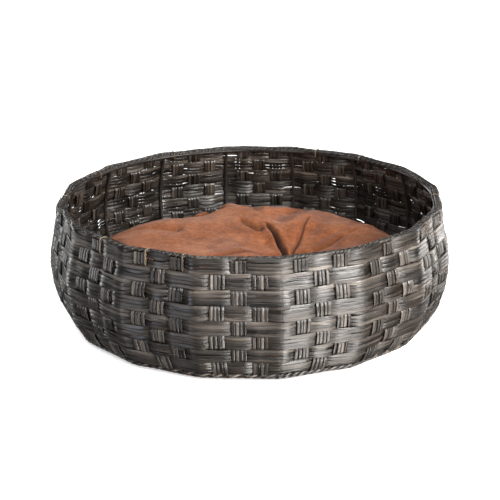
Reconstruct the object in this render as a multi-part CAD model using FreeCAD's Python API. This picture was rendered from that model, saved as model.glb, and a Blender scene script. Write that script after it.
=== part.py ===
import FreeCAD, Part
import math
import os

# Round wicker pet bed with a loose cushion, in millimetres.
# Sixteen bent wire ribs stand between two wire rings.  Flat strand bundles run round the
# ribs (the weaver rows) and up and down between them (three stakes in each panel), a
# capping lies on the rim, and the base is a plain weave over three wires.
# The origin is on the floor under the basket's centre, +Z is up and -Y is the front.
# Rib 1 stands at the front and the numbers rise anticlockwise, seen from above.

# ---- driving dimensions: the wall ----
HEIGHT = 152.0
BELLY_RADIUS = 246.5  # outer skin at a rib, at the widest level
BELLY_HEIGHT = 84.0
NECK_RADIUS = 236.5  # outer skin at a rib, at the rim
FOOT_RADIUS = 206.0  # the lower wall's curve carried on to the floor
RIB_COUNT = 16
ROW_COUNT = 8
ROWS_TOP = 151.5
ROW_PITCH = 17.3
ROW_GAP = 2.0  # between the strand bundles of two rows
BUNDLE_THICKNESS = 1.4
SMALL_GAP = 0.35  # between pieces that lie against each other
WAVE = 1.4  # how far a bundle swings to each side of the wall's middle
STAKES_PER_PANEL = 3
STAKE_WIDTH = 17.0
STAKE_CLEARANCE = 0.7  # beside a stake, before the weaver changes sides
STAKE_CROSSING = 5.0  # height over which a stake changes sides
STAKE_FOOT = 13.3

# ---- driving dimensions: wire frame ----
RIB_DIAMETER = 4.0
WIRE_SIDES = 12  # flats that a bent wire's round section is drawn with
TOP_RING_DIAMETER = 4.0
TOP_RING_RADIUS = 225.4
TOP_RING_HEIGHT = 147.9
BOTTOM_RING_DIAMETER = 5.0
BOTTOM_RING_RADIUS = 213.5
BOTTOM_RING_HEIGHT = 10.0
RIB_FOOT = 8.8
RIB_TOP = 149.6
RIB_RADIUS_AT_BOTTOM_RING = 218.2  # centre line, where it is welded to the ring's outside
RIB_RADIUS_AT_TOP_RING = 229.1
RIB_FOOT_BEND_END = 40.0
RIB_TOP_BEND_START = 120.0
BASE_WIRE_DIAMETER = 4.0
BASE_WIRE_SPACING = 100.0
BASE_WIRE_WELD = 0.3

# ---- driving dimensions: rim, foot and base ----
CAP_THICKNESS = 1.2
CAP_INNER_RADIUS = 227.0
LASHING_WIDTH = 2.0
LASHING_THICKNESS = 0.8
LASHING_DROP = 17.0
LASHING_OFFSET = 6.5  # from the middle of the stake that it lies beside
# Panel and stake of each lashing.
LASHED_STAKES = [(13, 1), (14, 0), (14, 2), (2, 0), (6, 1), (5, 2), (3, 1), (8, 2), (10, 0), (11, 1)]
FOOT_BAND_OUTSIDE = [(208.5, 0), (216.5, 2.8), (222.5, 7.0), (228.2, 12.3)]  # radius, height
FOOT_BAND_INSIDE = [(225.6, 12.3), (220.4, 7.6), (212.6, 3.3), (203.5, 2.4), (203.5, 0)]
BASE_RADIUS = 208.2
BASE_LEVEL = 5.5
BASE_WAVE = 1.1
BASE_THICKNESS = 1.0
BASE_PITCH = 24.2
BASE_STRIP_WIDTH = 21.0
BASE_STRIPS_EACH_SIDE = 8
BASE_CROSSING = 3.0  # run over which a base strip changes sides

# ---- driving dimensions: cushion ----
CUSHION_UNDERSIDE = 13.0
CUSHION_TOP = 92.0
CUSHION_RADIUS = 219.0
CUSHION_SIDE_ROUND = 32.0
COVER_THICKNESS = 1.0
FILLING_GAP = 0.4
TUFT_PLACE = (47.5, -6.7)
TUFT_THREAD_RADIUS = 1.2
TUFT_HOLE_RADIUS = 1.6
TUFT_TOP = 64.0

# ---- worked out from the dimensions above ----
PANEL_ANGLE = 2 * math.pi / RIB_COUNT
HALF_PANEL = PANEL_ANGLE / 2
FRONT = -math.pi / 2


def skin_radius(z):
    """Radius of the outer skin at a rib, at height z."""
    if z < BELLY_HEIGHT:
        drop = (BELLY_HEIGHT - z) / BELLY_HEIGHT
        return FOOT_RADIUS + (BELLY_RADIUS - FOOT_RADIUS) * math.sqrt(1 - drop * drop)
    turn = math.pi * (z - BELLY_HEIGHT) / (HEIGHT - BELLY_HEIGHT)
    return NECK_RADIUS + (BELLY_RADIUS - NECK_RADIUS) * (1 + math.cos(turn)) / 2


def middle_radius(z):
    """Radius of the wall's middle surface at a rib, at height z."""
    return skin_radius(z) - WAVE - BUNDLE_THICKNESS / 2


def panel_point(panel, along, out, z):
    """Point in a flat wall panel: along it from its middle, out from the axis, at height z."""
    angle = FRONT + (panel + 0.5) * PANEL_ANGLE
    x = out * math.cos(angle) - along * math.sin(angle)
    y = out * math.sin(angle) + along * math.cos(angle)
    return FreeCAD.Vector(x, y, z)


def closed_solid(faces):
    shell = Part.makeShell(faces)
    shell.sewShape()
    solid = Part.makeSolid(shell)
    if solid.Volume < 0:
        solid.reverse()
    return solid


def flat_face(points):
    return Part.Face(Part.makePolygon(points + [points[0]]))


def ring_solid(loops):
    """Solid ring from closed loops of points, one loop for each corner of its section."""
    faces = []
    for i, loop in enumerate(loops):
        other = loops[(i + 1) % len(loops)]
        for j in range(len(loop)):
            k = (j + 1) % len(loop)
            faces.append(flat_face([loop[j], loop[k], other[k], other[j]]))
    return closed_solid(faces)


def bar_solid(sections):
    """Solid bar from flat sections with the same number of corners, closed at both ends."""
    faces = [flat_face(sections[0]), flat_face(sections[-1])]
    for here, there in zip(sections, sections[1:]):
        for j in range(len(here)):
            k = (j + 1) % len(here)
            faces.append(flat_face([here[j], here[k], there[k], there[j]]))
    return closed_solid(faces)


def save(name, *solids):
    shape = solids[0] if len(solids) == 1 else Part.makeCompound(solids)
    shape.exportStep(f"parts/{name}.step")


# ---- weave ----


def stake_is_outside(panel, stake, row):
    return (panel + stake + row) % 2 == 0


def stake_share(stake):
    """Where a stake stands in its panel, from -1 at one rib to 1 at the next."""
    return 2 * (stake + 1) / (STAKES_PER_PANEL + 1) - 1


def row_levels(row):
    high = ROWS_TOP - ROW_PITCH * row - ROW_GAP / 2
    low = ROWS_TOP - ROW_PITCH * (row + 1) + ROW_GAP / 2
    return low, (low + high) / 2, high


def weaver_path(row, radius):
    """Corners of a weaver's middle line as (panel, along, out), once round the basket."""
    half_chord = radius * math.sin(HALF_PANEL)
    apothem = radius * math.cos(HALF_PANEL)
    reach = STAKE_WIDTH / 2 + STAKE_CLEARANCE
    corners = []
    for panel in range(RIB_COUNT):
        rib_along = (apothem + WAVE) * math.tan(HALF_PANEL)
        corners.append((panel, -rib_along, apothem + WAVE))
        for stake in range(STAKES_PER_PANEL):
            centre = stake_share(stake) * half_chord
            side = -1 if stake_is_outside(panel, stake, row) else 1
            corners.append((panel, centre - reach, apothem + side * WAVE))
            corners.append((panel, centre + reach, apothem + side * WAVE))
    return corners


def weaver_row(row):
    low, middle, high = row_levels(row)
    reference = middle_radius(middle)
    path = weaver_path(row, reference)
    half = BUNDLE_THICKNESS / 2

    def loop(z, shift):
        scale = middle_radius(z) / reference
        points = []
        for panel, along, out in path:
            on_rib = abs(along) > reference * math.sin(HALF_PANEL)
            slide = shift * math.tan(HALF_PANEL) if on_rib else 0.0
            points.append(panel_point(panel, (along - slide) * scale, (out + shift) * scale, z))
        return points

    inner = [loop(z, -half) for z in (low, middle, high)]
    outer = [loop(z, half) for z in (high, middle, low)]
    return ring_solid(inner + outer)


def stake_line(panel, stake):
    """Heights of a stake from its foot to the rim, each with its side of the wall."""
    line = []
    for row in reversed(range(ROW_COUNT)):
        low, middle, high = row_levels(row)
        side = 1 if stake_is_outside(panel, stake, row) else -1
        edge = (STAKE_CROSSING - ROW_GAP) / 2
        foot = STAKE_FOOT if row == ROW_COUNT - 1 else low + edge
        top = high if row == 0 else high - edge
        line += [(foot, side), (middle, side), (top, side)]
    return line


def stake_bar(panel, stake):
    half = BUNDLE_THICKNESS / 2
    sections = []
    for z, side in stake_line(panel, stake):
        radius = middle_radius(z)
        centre = stake_share(stake) * radius * math.sin(HALF_PANEL)
        out = radius * math.cos(HALF_PANEL) + side * WAVE
        left = centre - STAKE_WIDTH / 2
        right = centre + STAKE_WIDTH / 2
        sections.append(
            [
                panel_point(panel, left, out - half, z),
                panel_point(panel, right, out - half, z),
                panel_point(panel, right, out + half, z),
                panel_point(panel, left, out + half, z),
            ]
        )
    return bar_solid(sections)


# ---- wire frame ----


def rib_radius(z):
    """Distance of a rib's centre line from the axis; the ends bend in to meet the rings."""
    radius = middle_radius(z) - RIB_DIAMETER / 2
    if z > RIB_TOP_BEND_START:
        bend = rib_bend(TOP_RING_HEIGHT, RIB_RADIUS_AT_TOP_RING)
        share = (z - RIB_TOP_BEND_START) / (TOP_RING_HEIGHT - RIB_TOP_BEND_START)
        return radius - bend * share * share
    if z < RIB_FOOT_BEND_END:
        bend = rib_bend(BOTTOM_RING_HEIGHT, RIB_RADIUS_AT_BOTTOM_RING)
        share = (RIB_FOOT_BEND_END - z) / (RIB_FOOT_BEND_END - BOTTOM_RING_HEIGHT)
        return radius - bend * share * share
    return radius


def rib_bend(z, radius_at_ring):
    """How far a rib leaves the wall at height z to reach its ring."""
    return middle_radius(z) - RIB_DIAMETER / 2 - radius_at_ring


def even_steps(start, end, count):
    """That many heights from start, evenly apart, the last one a step short of end."""
    return [start + (end - start) * step / count for step in range(count)]


def rib_levels():
    """Heights where a rib's drawn line turns, closer together in its two end bends."""
    foot = even_steps(RIB_FOOT, RIB_FOOT_BEND_END, 7)
    shank = even_steps(RIB_FOOT_BEND_END, RIB_TOP_BEND_START, 6)
    top = even_steps(RIB_TOP_BEND_START, RIB_TOP, 5)
    return [*foot, *shank, *top, RIB_TOP]


def rib_bar(rib):
    """Round wire, drawn with flat sides and mitred at each small bend."""
    line = [(rib_radius(z), z) for z in rib_levels()]
    slopes = [math.atan2(end[1] - start[1], end[0] - start[0]) for start, end in zip(line, line[1:])]
    angle = FRONT + rib * PANEL_ANGLE
    sections = []
    for i, (radius, z) in enumerate(line):
        before = slopes[max(i - 1, 0)]
        after = slopes[min(i, len(slopes) - 1)]
        normal = (before + after) / 2 - math.pi / 2
        stretch = 1 / math.cos((after - before) / 2)
        section = []
        for side in range(WIRE_SIDES):
            turn = 2 * math.pi * side / WIRE_SIDES
            out = RIB_DIAMETER / 2 * math.cos(turn) * stretch
            across = RIB_DIAMETER / 2 * math.sin(turn)
            r = radius + out * math.cos(normal)
            x = r * math.cos(angle) - across * math.sin(angle)
            y = r * math.sin(angle) + across * math.cos(angle)
            section.append(FreeCAD.Vector(x, y, z + out * math.sin(normal)))
        sections.append(section)
    return bar_solid(sections)


def wire_ring(radius, diameter, z):
    return Part.makeTorus(radius, diameter / 2, FreeCAD.Vector(0, 0, z))


def base_wire(number):
    """Straight wire across the base, welded into the bottom ring at both ends."""
    y = (number - 1) * BASE_WIRE_SPACING
    reach = BOTTOM_RING_RADIUS - BOTTOM_RING_DIAMETER / 2 + BASE_WIRE_WELD
    half = math.sqrt(reach * reach - y * y)
    start = FreeCAD.Vector(-half, y, BOTTOM_RING_HEIGHT)
    return Part.makeCylinder(BASE_WIRE_DIAMETER / 2, 2 * half, start, FreeCAD.Vector(1, 0, 0))


# ---- rim and foot ----


def polygon_loop(radius, z):
    """Sixteen corners, one at each rib."""
    points = []
    for rib in range(RIB_COUNT):
        angle = FRONT + rib * PANEL_ANGLE
        points.append(FreeCAD.Vector(radius * math.cos(angle), radius * math.sin(angle), z))
    return points


def rim_cap():
    low = HEIGHT - CAP_THICKNESS
    outer = skin_radius(HEIGHT) + SMALL_GAP
    loops = [
        polygon_loop(CAP_INNER_RADIUS, low),
        polygon_loop(CAP_INNER_RADIUS, HEIGHT),
        polygon_loop(outer, HEIGHT),
        polygon_loop(outer, low),
    ]
    return ring_solid(loops)


def lashing_loop(panel, stake):
    """Narrow strand folded over the rim beside a stake."""
    foot = HEIGHT - LASHING_DROP
    apothem = math.cos(HALF_PANEL)
    clear = WAVE + BUNDLE_THICKNESS / 2 + SMALL_GAP
    place = stake_share(stake) * middle_radius(HEIGHT) * math.sin(HALF_PANEL) + LASHING_OFFSET
    outer_low = middle_radius(foot) * apothem + clear
    outer_high = (skin_radius(HEIGHT) + 2 * SMALL_GAP) * apothem
    ring_inside = TOP_RING_RADIUS - TOP_RING_DIAMETER / 2 - SMALL_GAP
    inner = min(
        CAP_INNER_RADIUS * apothem - SMALL_GAP,
        math.sqrt(ring_inside**2 - (abs(place) + LASHING_WIDTH) ** 2),
    )
    over = HEIGHT + SMALL_GAP
    thick = LASHING_THICKNESS
    inner_foot = TOP_RING_HEIGHT - TOP_RING_DIAMETER
    outline = [
        (outer_low, foot),
        (outer_high, over),
        (inner, over),
        (inner, inner_foot),
        (inner - thick, inner_foot),
        (inner - thick, over + thick),
        (outer_high + thick, over + thick),
        (outer_low + thick, foot),
    ]
    near = [panel_point(panel, place, out, z) for out, z in outline]
    across = panel_point(panel, LASHING_WIDTH, 0, 0) - panel_point(panel, 0, 0, 0)
    return flat_face(near).extrude(across)


def foot_band():
    """Twined binding under the wall; its underside is what the basket stands on."""
    return ring_solid([polygon_loop(r, z) for r, z in FOOT_BAND_OUTSIDE + FOOT_BAND_INSIDE])


# ---- base weave ----


def base_strip(index, lengthwise):
    """One strand bundle of the base, passing over and under the ones that cross it."""
    offset = index * BASE_PITCH
    edge = abs(offset) + BASE_STRIP_WIDTH / 2
    reach = math.sqrt(BASE_RADIUS * BASE_RADIUS - edge * edge)
    run = (BASE_PITCH - BASE_CROSSING) / 2
    stations = []
    for other in range(-BASE_STRIPS_EACH_SIDE - 1, BASE_STRIPS_EACH_SIDE + 2):
        over = (index + other + (1 if lengthwise else 0)) % 2 == 0
        z = BASE_LEVEL + (BASE_WAVE if over else -BASE_WAVE)
        for place in (other * BASE_PITCH - run, other * BASE_PITCH + run):
            if abs(place) < reach - BASE_THICKNESS:
                stations.append((place, z))
    stations.insert(0, (-reach, stations[0][1]))
    stations.append((reach, stations[-1][1]))
    half_width = BASE_STRIP_WIDTH / 2
    half = BASE_THICKNESS / 2
    sections = []
    for place, z in stations:
        section = []
        for side, up in ((-1, -1), (1, -1), (1, 1), (-1, 1)):
            across = offset + side * half_width
            x, y = (across, place) if lengthwise else (place, across)
            section.append(FreeCAD.Vector(x, y, z + up * half))
        sections.append(section)
    return bar_solid(sections)


def base_weave(lengthwise):
    strips = range(-BASE_STRIPS_EACH_SIDE, BASE_STRIPS_EACH_SIDE + 1)
    return [base_strip(index, lengthwise) for index in strips]


# ---- cushion ----


def line_between(start, end):
    return Part.LineSegment(start, end).toShape()


def cushion_outline(inset):
    """Edges of the cushion's half outline, drawn in by inset: underside, side and crown."""
    side_centre = CUSHION_RADIUS - CUSHION_SIDE_ROUND
    level = CUSHION_UNDERSIDE + CUSHION_SIDE_ROUND
    side = CUSHION_SIDE_ROUND - inset
    rise = (CUSHION_TOP - level - CUSHION_SIDE_ROUND) / side_centre
    tilt = math.pi / 2 - 2 * math.atan(rise)
    crown_centre = level - side_centre * math.tan(tilt)
    crown = CUSHION_SIDE_ROUND + side_centre / math.cos(tilt) - inset

    def on_side(angle):
        return FreeCAD.Vector(
            side_centre + side * math.cos(angle), 0, level + side * math.sin(angle)
        )

    def on_crown(angle):
        return FreeCAD.Vector(crown * math.cos(angle), 0, crown_centre + crown * math.sin(angle))

    centre_low = FreeCAD.Vector(0, 0, level - side)
    seam = on_side(0)
    underside = line_between(centre_low, on_side(-math.pi / 2))
    lower_side = Part.Arc(on_side(-math.pi / 2), on_side(-math.pi / 4), seam).toShape()
    upper_side = Part.Arc(seam, on_side(tilt / 2), on_side(tilt)).toShape()
    halfway = (tilt + math.pi / 2) / 2
    crown_arc = Part.Arc(on_side(tilt), on_crown(halfway), on_crown(math.pi / 2)).toShape()
    return underside, lower_side, upper_side, crown_arc


def turned(edges):
    """Solid turned about the axis from edges that close on themselves or along the axis."""
    outline = Part.Wire(Part.__sortEdges__(edges))
    if not outline.isClosed():
        ends = [v.Point for v in outline.OrderedVertexes]
        outline = Part.Wire([*outline.Edges, line_between(ends[-1], ends[0])])
    face = Part.Face(outline)
    return face.revolve(FreeCAD.Vector(0, 0, 0), FreeCAD.Vector(0, 0, 1), 360)


def tuft_cylinder(radius, low, high):
    start = FreeCAD.Vector(TUFT_PLACE[0], TUFT_PLACE[1], low)
    return Part.makeCylinder(radius, high - low, start)


def cover_half(outer, inner):
    """One fabric panel between two outlines that run from the seam to the axis."""
    outer_ends = [v.Point for v in Part.Wire(Part.__sortEdges__(outer)).OrderedVertexes]
    inner_ends = [v.Point for v in Part.Wire(Part.__sortEdges__(inner)).OrderedVertexes]
    seam = line_between(max(outer_ends, key=lambda p: p.x), max(inner_ends, key=lambda p: p.x))
    axis = line_between(min(outer_ends, key=lambda p: p.x), min(inner_ends, key=lambda p: p.x))
    return turned([*outer, seam, *inner, axis])


def cushion_parts():
    hole = tuft_cylinder(TUFT_HOLE_RADIUS, 0, CUSHION_TOP + 1)
    out_under, out_low, out_high, out_crown = cushion_outline(0)
    in_under, in_low, in_high, in_crown = cushion_outline(COVER_THICKNESS)
    top = cover_half([out_high, out_crown], [in_high, in_crown]).cut(hole)
    bottom = cover_half([out_under, out_low], [in_under, in_low]).cut(hole)
    filling = turned(list(cushion_outline(COVER_THICKNESS + FILLING_GAP))).cut(hole)
    thread = tuft_cylinder(TUFT_THREAD_RADIUS, CUSHION_UNDERSIDE, TUFT_TOP)
    return top, bottom, filling, thread


def main():
    os.makedirs("parts", exist_ok=True)
    save("top_ring", wire_ring(TOP_RING_RADIUS, TOP_RING_DIAMETER, TOP_RING_HEIGHT))
    save("bottom_ring", wire_ring(BOTTOM_RING_RADIUS, BOTTOM_RING_DIAMETER, BOTTOM_RING_HEIGHT))
    for rib in range(RIB_COUNT):
        save(f"rib_{rib + 1:02d}", rib_bar(rib))
    for row in range(ROW_COUNT):
        save(f"weaver_row_{row + 1}", weaver_row(row))
    for panel in range(RIB_COUNT):
        stakes = [stake_bar(panel, stake) for stake in range(STAKES_PER_PANEL)]
        save(f"stakes_panel_{panel + 1:02d}", *stakes)
    save("rim_cap", rim_cap())
    save("rim_lashing", *[lashing_loop(panel, stake) for panel, stake in LASHED_STAKES])
    save("bottom_binding", foot_band())
    for number in range(3):
        save(f"base_wire_{number + 1}", base_wire(number))
    save("base_weave_lengthwise", *base_weave(True))
    save("base_weave_crosswise", *base_weave(False))
    top, bottom, filling, thread = cushion_parts()
    save("cushion_cover_top", top)
    save("cushion_cover_bottom", bottom)
    save("cushion_filling", filling)
    save("cushion_tuft_thread", thread)


main()
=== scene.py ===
import math

import bpy
import numpy as np
from mathutils import Matrix, Vector, noise


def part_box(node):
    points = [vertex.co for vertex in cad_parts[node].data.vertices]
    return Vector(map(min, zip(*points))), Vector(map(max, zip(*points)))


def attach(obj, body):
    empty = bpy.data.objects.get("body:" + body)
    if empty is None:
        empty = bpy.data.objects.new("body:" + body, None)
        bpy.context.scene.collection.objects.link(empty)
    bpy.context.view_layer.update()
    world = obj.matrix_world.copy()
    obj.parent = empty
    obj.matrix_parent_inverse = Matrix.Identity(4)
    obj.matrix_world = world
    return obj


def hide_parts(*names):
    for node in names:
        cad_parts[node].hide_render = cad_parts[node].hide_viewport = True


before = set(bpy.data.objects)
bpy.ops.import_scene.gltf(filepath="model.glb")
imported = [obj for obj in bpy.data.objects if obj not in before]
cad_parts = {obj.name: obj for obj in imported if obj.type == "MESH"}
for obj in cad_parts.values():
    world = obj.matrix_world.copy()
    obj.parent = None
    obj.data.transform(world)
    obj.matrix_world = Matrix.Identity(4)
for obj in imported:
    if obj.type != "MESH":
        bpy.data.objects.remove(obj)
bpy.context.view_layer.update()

BASKET = "basket"
CUSHION = "cushion"
RANDOM = np.random.default_rng(7)

# ---------------------------------------------------------------------------
# Sizes in metres.  The ones that the frame holds are read from it.
# ---------------------------------------------------------------------------
RIB_COUNT = 16
ROW_COUNT = 8
STAKES_PER_PANEL = 3
PANEL_ANGLE = 2 * math.pi / RIB_COUNT
HALF_PANEL = PANEL_ANGLE / 2
FRONT = -math.pi / 2
UP = np.array([0.0, 0.0, 1.0])

ROW_BOXES = [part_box(f"weaver_row_{row + 1}") for row in range(ROW_COUNT)]
ROW_MIDDLES = [(low.z + high.z) / 2 for low, high in ROW_BOXES]
ROW_PITCH = ROW_MIDDLES[0] - ROW_MIDDLES[1]
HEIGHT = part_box("rim_cap")[1].z
RIM_OVERHANG = 0.00035  # how far the rim's cap stands out past the wall
NECK_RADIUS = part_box("rim_cap")[1].x - RIM_OVERHANG
BELLY_RADIUS = 0.2465
BELLY_HEIGHT = 0.084
FOOT_RADIUS = 0.206
WAVE = 0.0018  # how far a bundle swings to each side of the wall's middle
SKIN_DEPTH = 0.0021  # from the wall's middle surface to its outer skin
WIRE_DIAMETER = 0.004
RING_INNER_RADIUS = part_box("top_ring")[1].x - WIRE_DIAMETER

STRANDS_PER_BUNDLE = 4
STRAND_WIDTH = 0.0051
STRAND_THICKNESS = 0.0013
STAKE_WIDTH = 0.017
STAKE_STRAND_PITCH = 0.0043

TUFT = sum(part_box("cushion_tuft_thread"), Vector()) / 2
TUFT_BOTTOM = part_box("cushion_tuft_thread")[1].z
CUSHION_LOW, CUSHION_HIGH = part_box("cushion_cover_bottom")[0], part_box("cushion_cover_top")[1]
CUSHION_RADIUS = CUSHION_HIGH.x
CUSHION_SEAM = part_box("cushion_cover_bottom")[1].z

VIEW_AZIMUTH = math.radians(-8.0)
VIEW_ELEVATION = math.radians(19.34)
VIEW_DISTANCE = 1.79
VIEW_ROLL = math.radians(0.6)
VIEW_LENS = 103.5  # millimetres, on a 36 mm sensor
VIEW_SHIFT = (-0.001, 0.008)
VIEW_RIGHT = np.array([math.cos(VIEW_AZIMUTH), math.sin(VIEW_AZIMUTH)])
VIEW_AWAY = np.array([-math.sin(VIEW_AZIMUTH), math.cos(VIEW_AZIMUTH)])


# ---------------------------------------------------------------------------
# The wall
# ---------------------------------------------------------------------------
def middle_radius(z):
    """Distance of the wall's middle surface from the axis at a rib, at height z."""
    z = np.asarray(z, float)
    drop = np.clip((BELLY_HEIGHT - z) / BELLY_HEIGHT, 0, 1)
    lower = FOOT_RADIUS + (BELLY_RADIUS - FOOT_RADIUS) * np.sqrt(1 - drop**2)
    turn = np.clip((z - BELLY_HEIGHT) / (HEIGHT - BELLY_HEIGHT), 0, 1) * math.pi
    upper = NECK_RADIUS + (BELLY_RADIUS - NECK_RADIUS) * (1 + np.cos(turn)) / 2
    return np.where(z < BELLY_HEIGHT, lower, upper) - SKIN_DEPTH


def wall_slope(z):
    step = 0.0005
    return (middle_radius(z + step) - middle_radius(z - step)) / (2 * step)


def panel_frame(panel):
    angle = FRONT + (np.asarray(panel) + 0.5) * PANEL_ANGLE
    out = np.stack([np.cos(angle), np.sin(angle), 0 * angle], -1)
    along = np.stack([-np.sin(angle), np.cos(angle), 0 * angle], -1)
    return out, along


def panel_points(panel, along, out, z):
    out_way, along_way = panel_frame(panel)
    z = np.asarray(z, float) + 0 * along
    return out_way * np.asarray(out)[..., None] + along_way * along[..., None] + z[..., None] * UP


def stake_share(stake):
    return 2 * (stake + 1) / (STAKES_PER_PANEL + 1) - 1


def stake_is_outside(panel, stake, row):
    return (panel + stake + row) % 2 == 0


def ease(t):
    t = np.clip(t, 0, 1)
    return t * t * (3 - 2 * t)


def wander(length, scale, size, closed=False):
    """Smooth random drift along a line of that many points; scale is its wavelength in points."""
    turns = np.arange(length) / length * 2 * math.pi
    count = max(int(length / scale), 1)
    drift = np.zeros(length)
    for wave in range(1, count + 1):
        beat = wave if closed else wave * 0.73
        drift += np.sin(beat * turns + RANDOM.uniform(0, 2 * math.pi)) * RANDOM.normal()
    return drift * size / math.sqrt(max(count, 1))


def smooth(values, weights, closed):
    """Moving average along the first axis."""
    reach = len(weights) // 2
    ends = "wrap" if closed else "edge"
    padding = [(reach, reach)] + [(0, 0)] * (values.ndim - 1)
    wide = np.pad(values, padding, mode=ends)
    total = sum(w * wide[i : i + len(values)] for i, w in enumerate(weights))
    return total / sum(weights)


# ---------------------------------------------------------------------------
# Strand meshes
# ---------------------------------------------------------------------------
# The half of a strand's outline that faces out, as (across, out) from -1 to 1.
FLAT_SECTION = [
    (1, 0),
    (0.92, 0.56),
    (0.68, 0.87),
    (0.3, 0.99),
    (-0.3, 0.99),
    (-0.68, 0.87),
    (-0.92, 0.56),
]
ROUND_SECTION = [(1, 0), (0.5, 0.87), (-0.5, 0.87)]
PAINTED_EDGE_SHADE = 0.46  # painted shade: how much darker a strand's colour is at its edges, where neighbouring strands meet


def strand_section(half):
    """Closed outline from the half of it that faces out."""
    whole = np.array(half + [(-across, -out) for across, out in half], float)
    return whole[:, 0], whole[:, 1]


class Strands:
    """Gathers strands into one mesh, with grain coordinates and a tone for each strand, lowered at
    its edges as painted shade.
    """

    def __init__(self, name, half_section=FLAT_SECTION):
        self.name = name
        self.section = strand_section(half_section)
        self.points, self.grain, self.tone, self.faces = [], [], [], []
        self.count = 0

    def add(self, line, out, width, thickness, tone, twist=0.0, closed=False):
        """Sweeps the outline along a line; out is the way that the strand's flat side faces."""
        line, out = np.asarray(line, float), np.asarray(out, float)
        if closed:
            ahead = np.roll(line, -1, 0) - np.roll(line, 1, 0)
        else:
            ahead = np.gradient(line, axis=0)
        ahead /= np.linalg.norm(ahead, axis=1, keepdims=True)
        side = np.cross(out, ahead)
        side /= np.linalg.norm(side, axis=1, keepdims=True)
        top = np.cross(ahead, side)
        turn = np.broadcast_to(np.asarray(twist, float), len(line))[:, None]
        side, top = (
            side * np.cos(turn) + top * np.sin(turn),
            top * np.cos(turn) - side * np.sin(turn),
        )
        half_width = np.broadcast_to(np.asarray(width, float) / 2, len(line))
        half_thick = np.broadcast_to(np.asarray(thickness, float) / 2, len(line))
        across, up = self.section
        corners = len(across)
        ring = (
            line[:, None, :]
            + side[:, None, :] * (half_width[:, None] * across)[..., None]
            + top[:, None, :] * (half_thick[:, None] * up)[..., None]
        )
        run = np.concatenate([[0], np.cumsum(np.linalg.norm(np.diff(line, axis=0), axis=1))])
        grain = np.empty_like(ring)
        grain[..., 0] = run[:, None]
        grain[..., 1] = half_width[:, None] * across
        grain[..., 2] = RANDOM.uniform(0, 50)
        count = len(line)
        here = np.arange(count if closed else count - 1)
        there = (here + 1) % count
        k = np.arange(corners)
        next_k = (k + 1) % corners
        quads = np.stack(
            [
                here[:, None] * corners + k,
                here[:, None] * corners + next_k,
                there[:, None] * corners + next_k,
                there[:, None] * corners + k,
            ],
            -1,
        ).reshape(-1, 4)
        self.faces += (quads[:, ::-1] + self.count).tolist()
        if not closed:
            self.faces.append((k + self.count).tolist())
            self.faces.append((k[::-1] + self.count + (count - 1) * corners).tolist())
        self.points.append(ring.reshape(-1, 3))
        self.grain.append(grain.reshape(-1, 3))
        tones = np.broadcast_to(np.asarray(tone, float), count)[:, None]
        # Painted shade: each strand's tone is lowered towards its edges, as shade between
        # neighbouring strands.
        self.tone.append((tones - PAINTED_EDGE_SHADE * np.abs(across) ** 4).ravel())
        self.count += count * corners

    def make(self, body, material, replaces=()):
        mesh = bpy.data.meshes.new(self.name)
        mesh.from_pydata(np.concatenate(self.points).tolist(), [], self.faces)
        mesh.polygons.foreach_set("use_smooth", [True] * len(mesh.polygons))
        grain = mesh.attributes.new("grain", "FLOAT_VECTOR", "POINT")
        grain.data.foreach_set("vector", np.concatenate(self.grain).ravel())
        tone = mesh.attributes.new("tone", "FLOAT", "POINT")
        tone.data.foreach_set("value", np.concatenate(self.tone))
        return place(mesh, body, material, replaces)


def place(mesh, body, material, replaces=()):
    """Makes a mesh a piece of the object."""
    piece = bpy.data.objects.new(mesh.name, mesh)
    bpy.context.scene.collection.objects.link(piece)
    mesh.materials.clear()
    mesh.materials.append(material)
    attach(piece, body)
    if replaces:
        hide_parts(*replaces)
    return piece


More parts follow.
